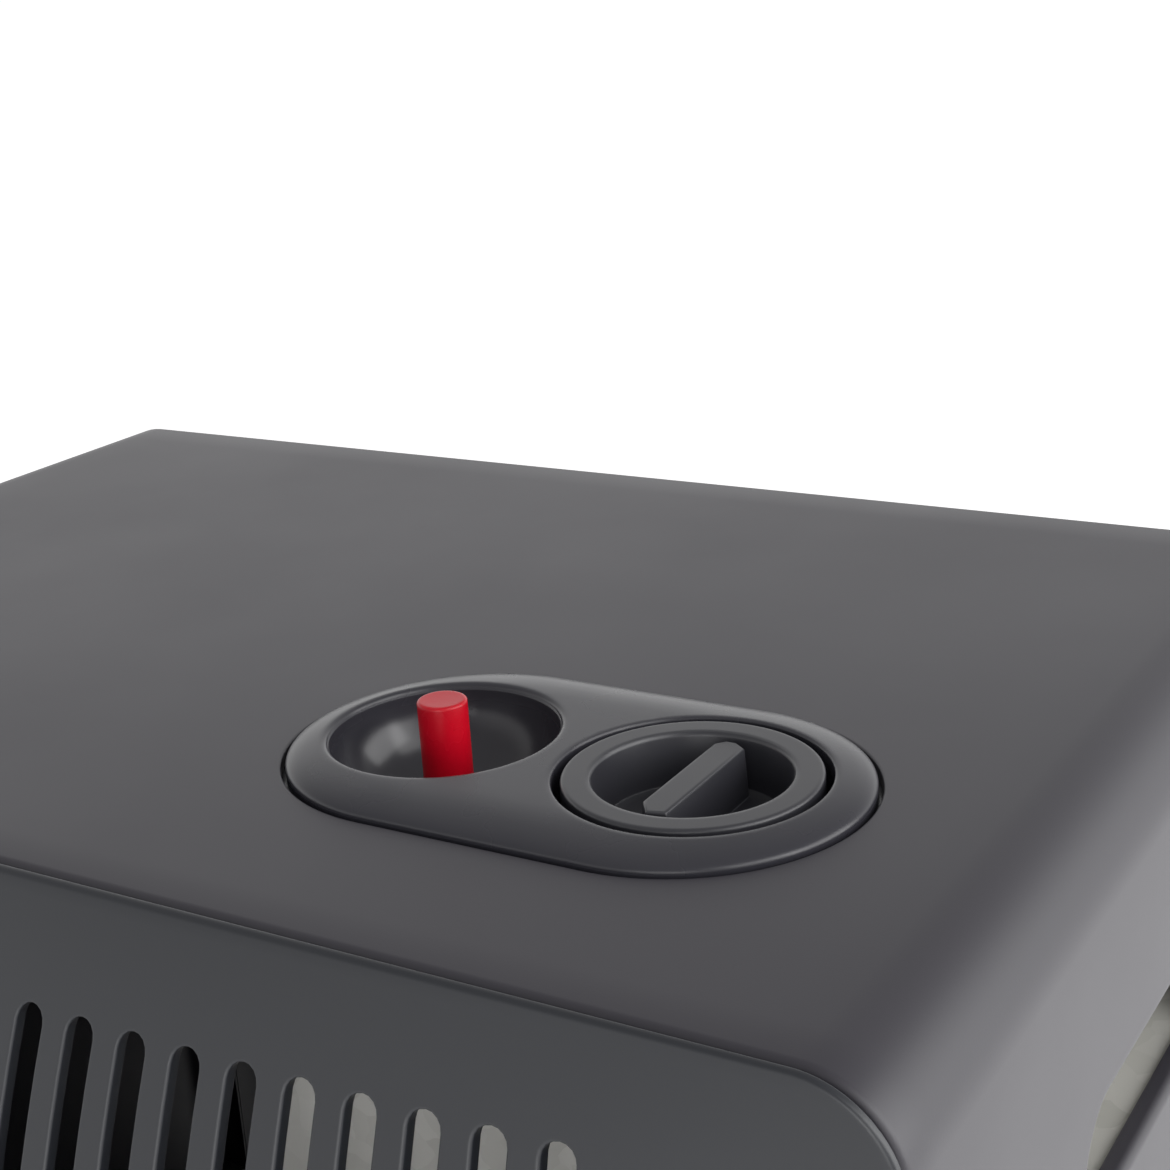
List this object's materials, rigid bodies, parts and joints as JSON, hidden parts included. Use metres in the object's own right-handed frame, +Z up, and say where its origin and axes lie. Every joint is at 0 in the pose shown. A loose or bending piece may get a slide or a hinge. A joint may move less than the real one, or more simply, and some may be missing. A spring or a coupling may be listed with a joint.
{
  "type": "portable gas heater",
  "caption": "Cabinet gas heater on castors: slotted bowed front over ceramic burners, rear door over the bottle bay, and a knob and igniter let into the top.",
  "frame": {"origin": "centre of the heater's footprint on the floor, under its bounding box", "axes": "+X to the heater's left hand side as seen from behind, which is the viewer's right in front of it; +Y to the back; +Z up"},
  "size_m": [0.4232, 0.3974, 0.74],
  "materials": {
    "casing_paint": "satin",
    "fascia_paint": "satin",
    "galvanised": "dull spangle",
    "black_plastic": "fine grain",
    "red_plastic": "gloss",
    "zinc_screw": "zinc plated",
    "brass": "machined",
    "copper_tube": "drawn copper",
    "chrome_wire": "bright",
    "stainless": "bright annealed",
    "ceramic": "matt",
    "spring_steel": "bright",
    "lead_sleeve": "silicone",
    "magnet_black": "matt",
    "die_cast": "as cast",
    "castor_plastic": "satin",
    "wheel_tread": "satin"
  },
  "bodies": {
    "casing": {"cabinet_shell": "casing_paint", "base_tray": "casing_paint", "front_fascia": "fascia_paint", "heat_shield": "galvanised", "control_bracket": "galvanised", "control_bezel": "black_plastic", "control_screws": "zinc_screw", "control_nuts": "brass", "valve_body": "die_cast", "magnet_unit": "brass", "valve_cover": "galvanised", "hose_tail": "brass", "knob_spring": "spring_steel", "piezo_body": "black_plastic", "button_spring": "spring_steel", "grip_plates": "galvanised", "burner_sides": "galvanised", "burner_frame": "stainless", "ceramic_plaques": "ceramic", "plenum_boxes": "galvanised", "venturi_tubes": "galvanised", "gas_rail": "brass", "injectors": "brass", "reflector": "stainless", "wire_guard": "chrome_wire", "pilot_bracket": "stainless", "pilot_burner": "brass", "thermocouple_probe": "copper_tube", "spark_electrode": "ceramic", "thermocouple_lead": "copper_tube", "ignition_lead": "lead_sleeve", "burner_pipe": "copper_tube", "pilot_pipe": "copper_tube", "pipe_clip": "galvanised", "hinge_leaves_fixed": "zinc_screw", "hinge_pins": "zinc_screw", "door_magnet": "magnet_black", "casing_screws": "zinc_screw", "castor_plates": "zinc_screw", "castor_screws": "zinc_screw"},
    "door": {"rear_door": "casing_paint", "hinge_leaves_door": "zinc_screw", "door_strike": "zinc_screw"},
    "plunger": {"valve_plunger": "brass"},
    "knob": {"valve_spindle": "zinc_screw", "control_knob": "black_plastic"},
    "igniter": {"igniter_button": "red_plastic"},
    "castor_fl": {"castor_fork_fl": "castor_plastic", "castor_axle_fl": "zinc_screw"},
    "wheel_fl": {"castor_wheel_fl": "wheel_tread"},
    "castor_fr": {"castor_fork_fr": "castor_plastic", "castor_axle_fr": "zinc_screw"},
    "wheel_fr": {"castor_wheel_fr": "wheel_tread"},
    "castor_rl": {"castor_fork_rl": "castor_plastic", "castor_axle_rl": "zinc_screw"},
    "wheel_rl": {"castor_wheel_rl": "wheel_tread"},
    "castor_rr": {"castor_fork_rr": "castor_plastic", "castor_axle_rr": "zinc_screw"},
    "wheel_rr": {"castor_wheel_rr": "wheel_tread"}
  },
  "joints": [
    {"name": "rear_door_swing", "type": "hinge", "parent": "casing", "child": "door", "pos_m": [0.2072, 0.1334, 0.395], "axis": [0, 0, -1], "range_deg": [0, 95]},
    {"name": "knob_press", "type": "slide", "parent": "casing", "child": "plunger", "axis": [0, 0, -1], "range_m": [0, 0.005], "stiffness_N_per_m": 1500, "springref_m": -0.004, "deforming": ["knob_spring"]},
    {"name": "knob_turn", "type": "hinge", "parent": "plunger", "child": "knob", "pos_m": [0.13, -0.0683, 0.7335], "axis": [0, 0, 1], "range_deg": [0, 210]},
    {"name": "igniter_press", "type": "slide", "parent": "casing", "child": "igniter", "axis": [0, 0, -1], "range_m": [0, 0.008], "stiffness_N_per_m": 1200, "springref_m": -0.004, "deforming": ["button_spring"]},
    {"name": "castor_swivel_fl", "type": "hinge", "parent": "casing", "child": "castor_fl", "pos_m": [-0.169, -0.1093, 0.06], "axis": [0, 0, 1], "continuous": true},
    {"name": "wheel_spin_fl", "type": "hinge", "parent": "castor_fl", "child": "wheel_fl", "pos_m": [-0.169, -0.0933, 0.0225], "axis": [1, 0, 0], "continuous": true},
    {"name": "castor_swivel_fr", "type": "hinge", "parent": "casing", "child": "castor_fr", "pos_m": [0.169, -0.1093, 0.06], "axis": [0, 0, 1], "continuous": true},
    {"name": "wheel_spin_fr", "type": "hinge", "parent": "castor_fr", "child": "wheel_fr", "pos_m": [0.169, -0.0933, 0.0225], "axis": [1, 0, 0], "continuous": true},
    {"name": "castor_swivel_rl", "type": "hinge", "parent": "casing", "child": "castor_rl", "pos_m": [-0.169, 0.1485, 0.06], "axis": [0, 0, 1], "continuous": true},
    {"name": "wheel_spin_rl", "type": "hinge", "parent": "castor_rl", "child": "wheel_rl", "pos_m": [-0.169, 0.1645, 0.0225], "axis": [1, 0, 0], "continuous": true},
    {"name": "castor_swivel_rr", "type": "hinge", "parent": "casing", "child": "castor_rr", "pos_m": [0.169, 0.1485, 0.06], "axis": [0, 0, 1], "continuous": true},
    {"name": "wheel_spin_rr", "type": "hinge", "parent": "castor_rr", "child": "wheel_rr", "pos_m": [0.169, 0.1645, 0.0225], "axis": [1, 0, 0], "continuous": true}
  ]
}
